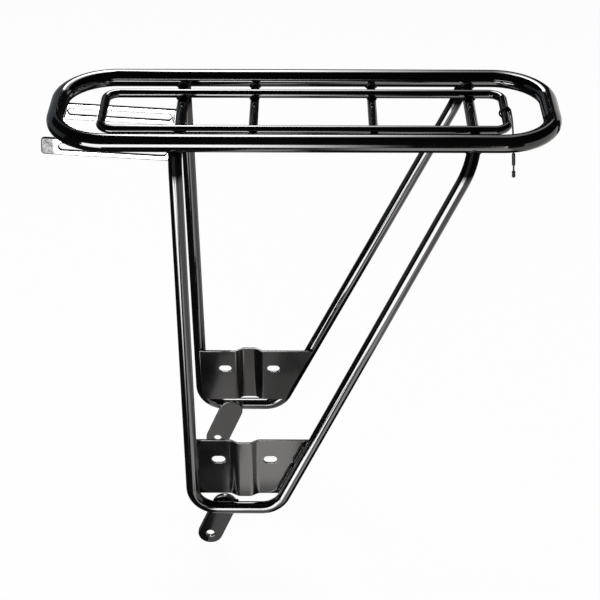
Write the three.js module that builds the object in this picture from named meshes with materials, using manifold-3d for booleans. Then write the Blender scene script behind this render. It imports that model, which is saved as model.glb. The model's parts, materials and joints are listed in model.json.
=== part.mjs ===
// A bicycle rear rack: a bent steel deck loop with an inner luggage ring, four crossbars, a bent leg
// tube with a bracket plate and a dropout strap on each side, two slotted front stays that swing on
// bolts under the deck, and a short tail-light lead hung on the ring.
// Millimetres. X points to the rear of the bike, Y to its right, Z up. While it is built, the deck
// loop's centre plane is Z = 0; at the end the rack is set down on Z = 0, centred lengthwise.
import * as THREE from "three";
import { mergeVertices } from "three/addons/utils/BufferGeometryUtils.js";
import Module from "manifold-3d";

const wasm = await Module();
wasm.setup();

// ---- driving dimensions ----
const GAP = 0.3; // left between neighbours that are welded or bolted together on the real rack

const LOOP_TUBE = 16;
const LOOP_LENGTH = 438; // along the tube's centreline, as are the next two
const LOOP_WIDTH = 128;
const LOOP_CORNER = 48;

const RING_ROD = 8;
const RING_LENGTH = 358;
const RING_WIDTH = 71;
const RING_CORNER = 12;
const RING_Z = -1.9;

const CROSSBAR_THICK = 10; // the two that sit over the legs
const CROSSBAR_THIN = 8; // the two between them
const CROSSBAR_FRONT_X = -110.6;
const CROSSBAR_MID_FRONT_X = -45;
const CROSSBAR_MID_REAR_X = 61.5;
const CROSSBAR_REAR_X = 150;
const CROSSBAR_BEND = 16; // the ends turn up at 45 degrees
const CROSSBAR_TIP_Y = 60.5;
const CROSSBAR_TIP_Z = -3.5;

const LEG_TUBE = 12;
const LEG_TOP_Y = 69.2; // where the plane of the leg crosses the deck plane
const LEG_FOOT_Y = 84.6;
const LEG_FOOT_Z = -388.6;
const LEG_FOOT_FRONT_X = -106.6;
const LEG_FOOT_REAR_X = -25.1;
const LEG_FOOT_BEND = 24;
const LEG_NECK_Z = -20; // where the top of each leg turns in to meet the loop
const LEG_NECK_FRONT_X = -110.9;
const LEG_NECK_REAR_X = 144.7;
const LEG_NECK_BEND = 85;
const LEG_TOP_FRONT_X = -110.9;
const LEG_TOP_REAR_X = 146.6;

const PLATE_THICK = 2.5;
const PLATE_TOP_Z = -313.7;
const PLATE_BOTTOM_Z = -376.5;
const RIB_X = -56.5;
const RIB_BASE_HALF = 15;
const RIB_CREST_HALF = 4.5;
const RIB_HEIGHT = 5;
const PLATE_SLOT_Z = -336.3;
const PLATE_SLOT_FRONT_X = -81.3;
const PLATE_SLOT_REAR_X = -31.5;
const PLATE_SLOT_LENGTH = 13;
const PLATE_SLOT_HEIGHT = 8;

const STRAP_THICK = 4;
const STRAP_WIDTH = 24;
const STRAP_LEAN = THREE.MathUtils.degToRad(22.5); // its top leans to the rear
const STRAP_HOLE = 8;
const STRAP_HOLE_X = -91.6;
const STRAP_HOLE_Z = -427.6;
const STRAP_LENGTH = 39.5; // between the centres of its two round ends

const STAY_THICK = 2.5;
const STAY_HEIGHT = 16;
const STAY_Y = 34;
const STAY_RISE = THREE.MathUtils.degToRad(3.55);
const STAY_REACH = 117; // from the pivot to the front end
const STAY_TAIL = 7; // behind the pivot
const STAY_END_ROUND = 3.2;
const STAY_SLOT_START = 6.7; // from the pivot to the slot's ends
const STAY_SLOT_END = 101.5;
const STAY_SLOT_HEIGHT = 6.5;
const PIVOT_X = -114.3;
const PIVOT_Z = -25.5;
const PIVOT_HOLE = 5.6;

const LUG_THICK = 3;
const LUG_RADIUS = 6.5;
const LUG_TOP_Z = -13;
const LUG_TOP_HALF_WIDTH = 5;

const BOLT_SHANK = 5;
const BOLT_HEAD_FLATS = 8;
const BOLT_HEAD_HEIGHT = 3.5;
const WASHER_OUTER = 10;
const WASHER_THICK = 1;
const NUT_FLATS = 8;
const NUT_HEIGHT = 4;
const BOLT_TIP = 1.5; // shank showing past the nut

const LEAD_RADIUS = 0.8;
const LEAD_WRAP_PITCH = 2.4;
const LEAD_TURNS = 1.25;
const LEAD_SPREAD = 6.3; // how far the hanging end stands behind where it leaves the rod
const LEAD_END_Z = -60.2;
const SLEEVE_Z = -48;
const SLEEVE_LENGTH = 12;
const SLEEVE_RADIUS = 1.6;
const TERMINAL_RADIUS = 1.7;
const TERMINAL_LENGTH = 6;

const LOOP_RADIUS = LOOP_TUBE / 2;
const LEG_RADIUS = LEG_TUBE / 2;
const LEG_LEAN = Math.atan2(LEG_FOOT_Y - LEG_TOP_Y, -LEG_FOOT_Z);

// ---- materials ----
const blackPaint = new THREE.MeshStandardMaterial({
  color: 0x0b0b0c,
  roughness: 0.12,
  metalness: 0.1,
});
const brightSteel = new THREE.MeshStandardMaterial({
  color: 0xd4d6d8,
  roughness: 0.18,
  metalness: 1,
});
const zincFastener = new THREE.MeshStandardMaterial({
  color: 0xb4b7ba,
  roughness: 0.35,
  metalness: 1,
});
const leadJacket = new THREE.MeshStandardMaterial({
  color: 0x17181a,
  roughness: 0.5,
  metalness: 0,
});

// ---- paths ----
// A path given by the stations at which its cross-section is drawn, so that a straight length is one
// step and only the bends are divided.
class StationPath extends THREE.Curve {
  constructor(points, tangents) {
    super();
    this.points = points;
    this.tangents = tangents;
  }

  steps() {
    return this.points.length - 1;
  }

  getPoint(t) {
    return this.points[Math.round(t * this.steps())].clone();
  }

  getPointAt(u) {
    return this.getPoint(u);
  }

  getTangentAt(u) {
    return this.tangents[Math.round(u * this.steps())].clone();
  }
}

// Stations of the arc that rounds the corner between two straight lengths.
function cornerStations(before, corner, after, radius, divisions) {
  const back = before.clone().sub(corner).normalize();
  const on = after.clone().sub(corner).normalize();
  const half = back.angleTo(on) / 2;
  const inward = back.clone().add(on).normalize();
  const centre = corner.clone().addScaledVector(inward, radius / Math.sin(half));
  const start = corner.clone().addScaledVector(back, radius / Math.tan(half));
  const spoke = start.clone().sub(centre);
  const heading = back.clone().negate();
  const axis = new THREE.Vector3().crossVectors(spoke, heading).normalize();
  const turn = Math.PI - 2 * half;
  const stations = [];
  for (let i = 0; i <= divisions; i++) {
    const angle = (turn * i) / divisions;
    stations.push({
      point: spoke.clone().applyAxisAngle(axis, angle).add(centre),
      tangent: heading.clone().applyAxisAngle(axis, angle),
    });
  }
  return stations;
}

// An open path through corners given as { at, radius }, its first and last entries being its ends.
function bentPath(corners, divisions) {
  const first = corners[0].at;
  const last = corners[corners.length - 1].at;
  const stations = [
    { point: first, tangent: corners[1].at.clone().sub(first).normalize() },
  ];
  for (let i = 1; i < corners.length - 1; i++) {
    const before = corners[i - 1].at;
    const after = corners[i + 1].at;
    stations.push(
      ...cornerStations(before, corners[i].at, after, corners[i].radius, divisions),
    );
  }
  const approach = last.clone().sub(corners[corners.length - 2].at).normalize();
  stations.push({ point: last, tangent: approach });
  return new StationPath(
    stations.map((s) => s.point),
    stations.map((s) => s.tangent),
  );
}

// A closed rectangle with rounded corners, lying flat at height z.
function roundedRectanglePath(length, width, radius, z, divisions) {
  const corners = [
    new THREE.Vector3(length / 2, -width / 2, z),
    new THREE.Vector3(length / 2, width / 2, z),
    new THREE.Vector3(-length / 2, width / 2, z),
    new THREE.Vector3(-length / 2, -width / 2, z),
  ];
  const stations = corners.flatMap((corner, i) =>
    cornerStations(corners.at(i - 1), corner, corners[(i + 1) % 4], radius, divisions),
  );
  stations.push(stations[0]);
  return new StationPath(
    stations.map((s) => s.point),
    stations.map((s) => s.tangent),
  );
}

// ---- solids ----
function circleShape(radius, x = 0, y = 0) {
  return new THREE.Shape().absarc(x, y, radius, 0, 2 * Math.PI, false);
}

function tubeAlong(path, radius, sides) {
  return new THREE.ExtrudeGeometry(circleShape(radius), {
    steps: path.steps(),
    extrudePath: path,
    curveSegments: sides / 2,
    bevelEnabled: false,
  });
}

// A tube round a closed path: the two end caps meet face to face, so only the wall is kept.
function ringAlong(path, radius, sides) {
  const open = tubeAlong(path, radius, sides);
  const wall = open.groups[1];
  const positions = open.getAttribute("position").array;
  const kept = positions.slice(3 * wall.start, 3 * (wall.start + wall.count));
  return new THREE.BufferGeometry().setAttribute(
    "position",
    new THREE.BufferAttribute(kept, 3),
  );
}

// A flat shape drawn in X and Z, given a thickness along Y from y0 to y1.
function slab(shape, y0, y1, curveSegments = 8) {
  const geometry = new THREE.ExtrudeGeometry(shape, {
    depth: y1 - y0,
    curveSegments,
    bevelEnabled: false,
  });
  return geometry.rotateX(Math.PI / 2).translate(0, y1, 0);
}

function rodAlongY(radius, x, z, y0, y1, sides = 32) {
  return new THREE.CylinderGeometry(radius, radius, y1 - y0, sides).translate(
    x,
    (y0 + y1) / 2,
    z,
  );
}

function rodAlongX(radius, y, z, x0, x1, sides = 32) {
  return new THREE.CylinderGeometry(radius, radius, x1 - x0, sides)
    .rotateZ(Math.PI / 2)
    .translate((x0 + x1) / 2, y, z);
}

function solidOf(geometry) {
  const bare = geometry.clone();
  bare.deleteAttribute("normal");
  bare.deleteAttribute("uv");
  const merged = mergeVertices(bare, 1e-4);
  return new wasm.Manifold(
    new wasm.Mesh({
      numProp: 3,
      vertProperties: merged.getAttribute("position").array,
      triVerts: new Uint32Array(merged.index.array),
    }),
  );
}

function geometryOf(solid) {
  const mesh = solid.getMesh();
  const geometry = new THREE.BufferGeometry();
  geometry.setAttribute("position", new THREE.BufferAttribute(mesh.vertProperties, 3));
  geometry.setIndex(new THREE.BufferAttribute(mesh.triVerts, 1));
  geometry.computeVertexNormals();
  return geometry;
}

function cut(geometry, ...tools) {
  const solid = tools.reduce((left, tool) => left.subtract(solidOf(tool)), solidOf(geometry));
  return geometryOf(solid);
}

function named(name, geometry, material) {
  const mesh = new THREE.Mesh(geometry, material.clone());
  mesh.name = name;
  return mesh;
}

// A level slot with round ends, drawn about its centre.
function slotPath(x, y, length, width) {
  const reach = (length - width) / 2;
  const quarter = Math.PI / 2;
  const slot = new THREE.Path();
  slot.absarc(x + reach, y, width / 2, -quarter, quarter, false);
  slot.absarc(x - reach, y, width / 2, quarter, 3 * quarter, false);
  slot.closePath();
  return slot;
}

// The loop's long side, GAP larger all round, for cutting what is welded under it.
function loopSideClearance() {
  return rodAlongX(
    LOOP_RADIUS + GAP,
    LOOP_WIDTH / 2,
    0,
    -LOOP_LENGTH / 2,
    LOOP_LENGTH / 2,
    48,
  );
}

// ---- deck ----
function loopTube() {
  const path = roundedRectanglePath(LOOP_LENGTH, LOOP_WIDTH, LOOP_CORNER, 0, 10);
  return named("loop_tube", ringAlong(path, LOOP_RADIUS, 20), blackPaint);
}

function luggageRing() {
  const path = roundedRectanglePath(RING_LENGTH, RING_WIDTH, RING_CORNER, RING_Z, 6);
  return named("luggage_ring", ringAlong(path, RING_ROD / 2, 14), blackPaint);
}

// The middle line of a crossbar: just under the ring, its ends turned up towards the loop.
function crossbarPath(x, diameter, tipY) {
  const z = RING_Z - RING_ROD / 2 - GAP - diameter / 2;
  const bendY = CROSSBAR_TIP_Y - (CROSSBAR_TIP_Z - z);
  const tipZ = CROSSBAR_TIP_Z + tipY - CROSSBAR_TIP_Y;
  return bentPath(
    [
      { at: new THREE.Vector3(x, -tipY, tipZ) },
      { at: new THREE.Vector3(x, -bendY, z), radius: CROSSBAR_BEND },
      { at: new THREE.Vector3(x, bendY, z), radius: CROSSBAR_BEND },
      { at: new THREE.Vector3(x, tipY, tipZ) },
    ],
    4,
  );
}

function crossbar(name, x, diameter, ...tools) {
  const rod = tubeAlong(crossbarPath(x, diameter, CROSSBAR_TIP_Y), diameter / 2, 14);
  const right = loopSideClearance();
  const left = loopSideClearance().translate(0, -LOOP_WIDTH, 0);
  return named(name, cut(rod, right, left, ...tools), blackPaint);
}

// ---- right-hand side; the left is its mirror image ----
// One tube: down the front leg, round the foot and up the diagonal, its ends cut to the loop.
function legPath() {
  const neckY = LEG_TOP_Y - LEG_NECK_Z * Math.tan(LEG_LEAN);
  const point = (x, y, z) => new THREE.Vector3(x, y, z);
  return bentPath(
    [
      { at: point(LEG_TOP_FRONT_X, LOOP_WIDTH / 2, 0) },
      { at: point(LEG_NECK_FRONT_X, neckY, LEG_NECK_Z), radius: LEG_NECK_BEND },
      { at: point(LEG_FOOT_FRONT_X, LEG_FOOT_Y, LEG_FOOT_Z), radius: LEG_FOOT_BEND },
      { at: point(LEG_FOOT_REAR_X, LEG_FOOT_Y, LEG_FOOT_Z), radius: LEG_FOOT_BEND },
      { at: point(LEG_NECK_REAR_X, neckY, LEG_NECK_Z), radius: LEG_NECK_BEND },
      { at: point(LEG_TOP_REAR_X, LOOP_WIDTH / 2, 0) },
    ],
    8,
  );
}

function legTube() {
  return cut(tubeAlong(legPath(), LEG_RADIUS, 16), loopSideClearance());
}

// The same leg, GAP larger all round, for cutting the crossbar that ends beside it.
function legClearance(side) {
  const tool = tubeAlong(legPath(), LEG_RADIUS + GAP, 24);
  return side === "left" ? mirrored(tool) : tool;
}

function mirrored(geometry) {
  const bare = geometry.clone().scale(1, -1, 1);
  const position = bare.getAttribute("position");
  const swapped = new Float32Array(position.count * 3);
  for (let i = 0; i < position.count; i++) {
    const from = i - (i % 3) + (2 - (i % 3));
    swapped.set([position.getX(from), position.getY(from), position.getZ(from)], 3 * i);
  }
  return new THREE.BufferGeometry().setAttribute(
    "position",
    new THREE.BufferAttribute(swapped, 3),
  );
}

// X of the leg tube's middle line at height z: down the front leg, and down the diagonal.
function legX(neckX, footX, z) {
  return neckX + ((z - LEG_NECK_Z) / (LEG_FOOT_Z - LEG_NECK_Z)) * (footX - neckX);
}

function frontLegX(z) {
  return legX(LEG_NECK_FRONT_X, LEG_FOOT_FRONT_X, z);
}

function diagonalLegX(z) {
  return legX(LEG_NECK_REAR_X, LEG_FOOT_REAR_X, z);
}

// How far the plate's rib stands outboard at x: a flat crest between two smooth flanks.
function ribRise(x) {
  const past = Math.abs(x - RIB_X) - RIB_CREST_HALF;
  const down = THREE.MathUtils.clamp(past / (RIB_BASE_HALF - RIB_CREST_HALF), 0, 1);
  return (RIB_HEIGHT * (1 + Math.cos(Math.PI * down))) / 2;
}

function plateOutline() {
  const outline = new THREE.Shape();
  outline.moveTo(frontLegX(PLATE_TOP_Z), PLATE_TOP_Z);
  outline.lineTo(frontLegX(PLATE_BOTTOM_Z), PLATE_BOTTOM_Z);
  outline.lineTo(diagonalLegX(PLATE_BOTTOM_Z), PLATE_BOTTOM_Z);
  outline.lineTo(diagonalLegX(PLATE_TOP_Z), PLATE_TOP_Z);
  outline.closePath();
  for (const x of [PLATE_SLOT_FRONT_X, PLATE_SLOT_REAR_X])
    outline.holes.push(slotPath(x, PLATE_SLOT_Z, PLATE_SLOT_LENGTH, PLATE_SLOT_HEIGHT));
  return outline;
}

// A pressed plate lapped on the inboard side of the leg tube, with a vertical rib and two slots.
function bracketPlate() {
  const outer = -LEG_RADIUS - GAP;
  const margin = 1;
  const flank = [1, 5 / 6, 4 / 6, 3 / 6, 2 / 6, 1 / 6, 0].map(
    (share) => RIB_CREST_HALF + share * (RIB_BASE_HALF - RIB_CREST_HALF),
  );
  const xs = [
    frontLegX(PLATE_TOP_Z) - margin,
    ...flank.map((reach) => RIB_X - reach),
    ...flank.reverse().map((reach) => RIB_X + reach),
    diagonalLegX(PLATE_TOP_Z) + margin,
  ];
  const outboard = xs.map((x) => new THREE.Vector2(x, outer + ribRise(x)));
  const inboard = outboard.map((p) => new THREE.Vector2(p.x, p.y - PLATE_THICK));
  const section = new THREE.Shape([...inboard, ...outboard.reverse()]);
  const sheet = new THREE.ExtrudeGeometry(section, {
    depth: PLATE_TOP_Z - PLATE_BOTTOM_Z + 2 * margin,
    bevelEnabled: false,
  }).translate(0, 0, PLATE_BOTTOM_Z - margin);
  const blank = slab(plateOutline(), outer - 2 * RIB_HEIGHT, outer + 2 * RIB_HEIGHT);
  return geometryOf(solidOf(sheet).intersect(solidOf(blank)));
}

// A flat bar with round ends, welded upright inside the foot; its hole takes the dropout's bolt.
function dropoutStrap() {
  const y1 = LEG_FOOT_Y - LEG_RADIUS - GAP;
  const along = Math.PI / 2 - STRAP_LEAN;
  const topX = STRAP_HOLE_X + Math.cos(along) * STRAP_LENGTH;
  const topZ = STRAP_HOLE_Z + Math.sin(along) * STRAP_LENGTH;
  const quarter = Math.PI / 2;
  const outline = new THREE.Shape();
  outline.absarc(topX, topZ, STRAP_WIDTH / 2, along - quarter, along + quarter, false);
  outline.absarc(
    STRAP_HOLE_X,
    STRAP_HOLE_Z,
    STRAP_WIDTH / 2,
    along + quarter,
    along + 3 * quarter,
    false,
  );
  outline.closePath();
  outline.holes.push(circleShape(STRAP_HOLE / 2, STRAP_HOLE_X, STRAP_HOLE_Z));
  return slab(outline, y1 - STRAP_THICK, y1, 10);
}

// A slotted flat bar, drawn level with its pivot at the origin and its front end towards -X.
function frontStay() {
  const outline = roundedBar(-STAY_REACH, STAY_TAIL, STAY_HEIGHT, STAY_END_ROUND);
  const slotCentre = -(STAY_SLOT_START + STAY_SLOT_END) / 2;
  const slotLength = STAY_SLOT_END - STAY_SLOT_START;
  outline.holes.push(slotPath(slotCentre, 0, slotLength, STAY_SLOT_HEIGHT));
  outline.holes.push(circleShape(PIVOT_HOLE / 2));
  return slab(outline, -STAY_THICK / 2, STAY_THICK / 2);
}

function roundedBar(x0, x1, height, round) {
  const h = height / 2;
  const bar = new THREE.Shape();
  bar.moveTo(x0 + round, -h);
  bar.lineTo(x1 - round, -h);
  bar.absarc(x1 - round, -h + round, round, -Math.PI / 2, 0, false);
  bar.absarc(x1 - round, h - round, round, 0, Math.PI / 2, false);
  bar.absarc(x0 + round, h - round, round, Math.PI / 2, Math.PI, false);
  bar.absarc(x0 + round, -h + round, round, Math.PI, 1.5 * Math.PI, false);
  bar.closePath();
  return bar;
}

// A lug welded under the front crossbar, just inboard of the stay.
function stayLug() {
  const y1 = STAY_Y - STAY_THICK / 2 - GAP;
  const outline = new THREE.Shape();
  outline.moveTo(CROSSBAR_FRONT_X + LUG_TOP_HALF_WIDTH, LUG_TOP_Z);
  outline.lineTo(CROSSBAR_FRONT_X - LUG_TOP_HALF_WIDTH, LUG_TOP_Z);
  outline.absarc(PIVOT_X, PIVOT_Z, LUG_RADIUS, Math.PI, 2 * Math.PI, false);
  outline.closePath();
  outline.holes.push(circleShape(PIVOT_HOLE / 2, PIVOT_X, PIVOT_Z));
  const crossbarZ = RING_Z - RING_ROD / 2 - GAP - CROSSBAR_THICK / 2;
  const saddle = rodAlongY(
    CROSSBAR_THICK / 2 + GAP,
    CROSSBAR_FRONT_X,
    crossbarZ,
    0,
    LOOP_WIDTH / 2,
  );
  return cut(slab(outline, y1 - LUG_THICK, y1, 12), saddle);
}

function hexagon(flats) {
  const corner = flats / Math.sqrt(3);
  const points = [];
  for (let i = 0; i < 6; i++) {
    const angle = (i * Math.PI) / 3;
    points.push(new THREE.Vector2(corner * Math.cos(angle), corner * Math.sin(angle)));
  }
  return new THREE.Shape(points);
}

// The pivot bolt's pieces lie along Y at the pivot: head, washer, stay, lug, nut, from outboard.
const washerOuterY = STAY_Y + STAY_THICK / 2 + GAP + WASHER_THICK;
const headInnerY = washerOuterY + GAP;
const nutOuterY = STAY_Y - STAY_THICK / 2 - GAP - LUG_THICK - GAP;

function pivotBolt() {
  const shankTip = nutOuterY - NUT_HEIGHT - BOLT_TIP;
  const overlap = 0.5;
  const head = slab(hexagon(BOLT_HEAD_FLATS), headInnerY, headInnerY + BOLT_HEAD_HEIGHT);
  const shank = rodAlongY(BOLT_SHANK / 2, 0, 0, shankTip, headInnerY + overlap, 20);
  return geometryOf(solidOf(head).add(solidOf(shank)));
}

function pivotWasher() {
  const ring = circleShape(WASHER_OUTER / 2);
  ring.holes.push(circleShape(BOLT_SHANK / 2 + GAP));
  return slab(ring, washerOuterY - WASHER_THICK, washerOuterY, 12);
}

function pivotNut() {
  const nut = hexagon(NUT_FLATS);
  nut.holes.push(circleShape(BOLT_SHANK / 2 + GAP));
  return slab(nut, nutOuterY - NUT_HEIGHT, nutOuterY, 12);
}

// ---- tail-light lead, wrapped round the ring's rear rod ----
function leadPath() {
  const rodX = RING_LENGTH / 2;
  const wrapRadius = RING_ROD / 2 + GAP + LEAD_RADIUS;
  const points = [];
  const wrapSteps = 20;
  for (let i = 0; i <= wrapSteps; i++) {
    const turned = (LEAD_TURNS * i) / wrapSteps;
    const angle = 2 * Math.PI * (LEAD_TURNS - turned);
    const x = rodX + wrapRadius * Math.cos(angle);
    const z = RING_Z + wrapRadius * Math.sin(angle);
    points.push(new THREE.Vector3(x, -LEAD_WRAP_PITCH * turned, z));
  }
  const hangY = points[wrapSteps].y;
  const hangSteps = 8;
  for (let i = 1; i <= hangSteps; i++) {
    const down = i / hangSteps;
    const x = rodX + wrapRadius + LEAD_SPREAD * Math.sqrt(down);
    points.push(new THREE.Vector3(x, hangY, RING_Z + down * (LEAD_END_Z - RING_Z)));
  }
  const curve = new THREE.CatmullRomCurve3(points, false, "centripetal");
  const steps = 56;
  const shares = Array.from({ length: steps + 1 }, (_, i) => i / steps);
  return new StationPath(
    shares.map((share) => curve.getPoint(share)),
    shares.map((share) => curve.getTangent(share)),
  );
}

// The lead's place and downward direction where it passes height z.
function leadAt(path, z) {
  const i = path.points.findLastIndex((point) => point.z >= z);
  const point = path.points[i];
  const heading = path.tangents[i];
  const on = (z - point.z) / heading.z;
  return { place: point.clone().addScaledVector(heading, on), heading };
}

// Stands a piece that was turned about its own Y on the lead at height z.
function onLead(mesh, path, z) {
  const { place, heading } = leadAt(path, z);
  mesh.position.copy(place);
  mesh.quaternion.setFromUnitVectors(new THREE.Vector3(0, -1, 0), heading);
  return mesh;
}

// A short tube with an open bore.
function sleeveGeometry(outer, bore, length) {
  const half = length / 2;
  const profile = [
    new THREE.Vector2(bore, -half),
    new THREE.Vector2(outer, -half),
    new THREE.Vector2(outer, half),
    new THREE.Vector2(bore, half),
    new THREE.Vector2(bore, -half),
  ];
  return new THREE.LatheGeometry(profile, 16);
}

function leadPieces() {
  const path = leadPath();
  const sleeve = sleeveGeometry(SLEEVE_RADIUS, LEAD_RADIUS + GAP, SLEEVE_LENGTH);
  const terminal = new THREE.CylinderGeometry(
    TERMINAL_RADIUS,
    TERMINAL_RADIUS,
    TERMINAL_LENGTH,
    16,
  );
  const terminalZ = LEAD_END_Z - GAP - TERMINAL_LENGTH / 2;
  return [
    named("tail_lead", tubeAlong(path, LEAD_RADIUS, 8), leadJacket),
    onLead(named("lead_sleeve", sleeve, leadJacket), path, SLEEVE_Z),
    onLead(named("lead_terminal", terminal, zincFastener), path, terminalZ),
  ];
}

// ---- assembly ----
function sideOfRack(side) {
  const leaning = new THREE.Group();
  leaning.position.set(0, LEG_TOP_Y, 0);
  leaning.rotation.x = LEG_LEAN;
  leaning.add(named(`bracket_plate_${side}`, bracketPlate(), blackPaint));

  const stay = named(`front_stay_${side}`, frontStay(), brightSteel);
  stay.position.set(PIVOT_X, STAY_Y, PIVOT_Z);
  stay.rotation.y = STAY_RISE;

  const fastening = new THREE.Group();
  fastening.position.set(PIVOT_X, 0, PIVOT_Z);
  fastening.add(named(`pivot_bolt_${side}`, pivotBolt(), zincFastener));
  fastening.add(named(`pivot_washer_${side}`, pivotWasher(), zincFastener));
  fastening.add(named(`pivot_nut_${side}`, pivotNut(), zincFastener));

  const half = new THREE.Group();
  half.add(named(`leg_${side}`, legTube(), blackPaint));
  half.add(named(`dropout_strap_${side}`, dropoutStrap(), blackPaint));
  half.add(named(`stay_lug_${side}`, stayLug(), blackPaint));
  half.add(leaning, stay, fastening);
  half.scale.y = side === "left" ? -1 : 1;
  return half;
}

const rack = new THREE.Group();
rack.add(loopTube());
rack.add(luggageRing());
const legTools = [legClearance("left"), legClearance("right")];
rack.add(crossbar("crossbar_front", CROSSBAR_FRONT_X, CROSSBAR_THICK, ...legTools));
rack.add(crossbar("crossbar_mid_front", CROSSBAR_MID_FRONT_X, CROSSBAR_THIN));
rack.add(crossbar("crossbar_mid_rear", CROSSBAR_MID_REAR_X, CROSSBAR_THIN));
rack.add(crossbar("crossbar_rear", CROSSBAR_REAR_X, CROSSBAR_THICK, ...legTools));
rack.add(sideOfRack("left"));
rack.add(sideOfRack("right"));
rack.add(...leadPieces());

const bounds = new THREE.Box3().setFromObject(rack, true);
rack.position.set(-(bounds.min.x + bounds.max.x) / 2, 0, -bounds.min.z);

export default rack;
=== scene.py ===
"""A gloss black bicycle rear rack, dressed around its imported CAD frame.

Lengths are in millimetres in deck coordinates: the origin is the middle of the deck loop, X points
to the rear of the bike, Y to its right and Z up. to_row() turns them into the row frame, in metres.
"""

import json
import math

import bpy
import numpy as np
from mathutils import Matrix, Vector, geometry


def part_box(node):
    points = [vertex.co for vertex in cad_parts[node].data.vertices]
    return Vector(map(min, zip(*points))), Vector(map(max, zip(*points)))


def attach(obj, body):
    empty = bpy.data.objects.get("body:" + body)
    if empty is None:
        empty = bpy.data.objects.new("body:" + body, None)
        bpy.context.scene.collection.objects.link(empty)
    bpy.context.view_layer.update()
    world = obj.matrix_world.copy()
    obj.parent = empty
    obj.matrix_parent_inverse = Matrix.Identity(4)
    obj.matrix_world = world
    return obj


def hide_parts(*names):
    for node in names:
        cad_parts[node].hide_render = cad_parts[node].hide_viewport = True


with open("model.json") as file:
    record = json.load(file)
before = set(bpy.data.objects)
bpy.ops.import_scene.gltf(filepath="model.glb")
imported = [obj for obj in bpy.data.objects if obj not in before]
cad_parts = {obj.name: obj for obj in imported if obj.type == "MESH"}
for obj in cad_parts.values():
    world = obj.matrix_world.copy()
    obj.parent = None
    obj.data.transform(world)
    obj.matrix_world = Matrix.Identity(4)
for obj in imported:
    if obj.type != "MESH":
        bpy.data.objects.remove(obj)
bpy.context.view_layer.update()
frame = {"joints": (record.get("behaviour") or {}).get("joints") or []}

MM = 0.001
SIDES = (("left", -1), ("right", 1))


def node_box(node):
    """A CAD node's corners in millimetres, in the row frame."""
    low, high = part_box(node)
    return np.array(low) / MM, np.array(high) / MM


# ---- sizes read from the frame ----
LOOP_LOW, LOOP_HIGH = node_box("loop_tube")
DECK_ORIGIN = (LOOP_LOW + LOOP_HIGH) / 2
LOOP_RADIUS = (LOOP_HIGH[2] - LOOP_LOW[2]) / 2
LOOP_HALF_LENGTH = (LOOP_HIGH[0] - LOOP_LOW[0]) / 2 - LOOP_RADIUS
LOOP_HALF_WIDTH = (LOOP_HIGH[1] - LOOP_LOW[1]) / 2 - LOOP_RADIUS
LOOP_CORNER = 48

RING_LOW, RING_HIGH = (corner - DECK_ORIGIN for corner in node_box("luggage_ring"))
RING_RADIUS = (RING_HIGH[2] - RING_LOW[2]) / 2
RING_Z = (RING_HIGH[2] + RING_LOW[2]) / 2
RING_HALF_LENGTH = RING_HIGH[0] - RING_RADIUS
RING_HALF_WIDTH = RING_HIGH[1] - RING_RADIUS
RING_CORNER = 12

CROSSBARS = ("crossbar_front", "crossbar_mid_front", "crossbar_mid_rear", "crossbar_rear")
CROSSBAR_BEND = 16
CROSSBAR_TIP_Y = 60.5
CROSSBAR_TIP_Z = -3.5

LEG_RADIUS = 6
LEG_TOP_Y = 69.2
LEG_FOOT_Y = 84.6
LEG_FOOT_Z = -388.6
LEG_FOOT_FRONT_X = -106.6
LEG_FOOT_REAR_X = -25.1
LEG_FOOT_BEND = 24
LEG_NECK_Z = -20
LEG_NECK_FRONT_X = -110.9
LEG_NECK_REAR_X = 144.7
LEG_NECK_BEND = 85
LEG_TOP_FRONT_X = -110.9
LEG_TOP_REAR_X = 146.6
LEG_LEAN = math.atan2(LEG_FOOT_Y - LEG_TOP_Y, -LEG_FOOT_Z)

GAP = 0.3  # between the CAD's neighbouring pieces

PLATE_THICK = 2.5
PLATE_TOP_Z = -313.7
PLATE_BOTTOM_Z = -376.5
RIB_X = -56.5
RIB_BASE_HALF = 15
RIB_CREST_HALF = 4.5
RIB_HEIGHT = 5
PLATE_SLOTS_X = (-81.3, -31.5)
PLATE_SLOT_Z = -336.3
PLATE_SLOT_LENGTH = 13
PLATE_SLOT_HEIGHT = 8
PLATE_BEVEL = 0.5

STRAP_THICK = 4
STRAP_RADIUS = 12
STRAP_LEAN = math.radians(22.5)
STRAP_HOLE_RADIUS = 4
STRAP_HOLE = (-91.6, -427.6)
STRAP_LENGTH = 39.5
STRAP_BEVEL = 0.7

STAY_THICK = 2.5
STAY_HALF_HEIGHT = 8
STAY_Y = 34
STAY_RISE = math.radians(3.55)
STAY_REACH = 117
STAY_TAIL = 7
STAY_END_ROUND = 3.2
STAY_SLOT_START = 6.7
STAY_SLOT_END = 101.5
STAY_SLOT_RADIUS = 3.25
STAY_BEVEL = 0.35
# The width of the band of painted shade along the stay's edges.
STAY_RIM_MARGIN = 0.5
PIVOT_HOLE_RADIUS = 2.8
LUG_RADIUS = 6.5
LUG_THICK = 3
LUG_TOP_Z = -13
LUG_TOP_HALF_WIDTH = 5
LUG_BEVEL = 0.4
SHANK_RADIUS = 2.5
HEX_FLATS = 8
HEAD_HEIGHT = 3.5
WASHER_RADIUS = 5
WASHER_THICK = 1
NUT_HEIGHT = 4
THREAD_PITCH = 0.8
THREAD_DEPTH = 0.3

LEAD_RADIUS = 0.8
LEAD_WRAP_PITCH = 2.4
LEAD_TURNS = 1.25
LEAD_SPREAD = 6.3
LEAD_END_Z = -60.2
SLEEVE_Z = -48
SLEEVE_LENGTH = 12
SLEEVE_RADIUS = 1.6
TERMINAL_RADIUS = 1.7
TERMINAL_LENGTH = 6

LOOP_SIDES = 64
LEG_SIDES = 48
ROD_SIDES = 40
LEAD_SIDES = 20

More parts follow.
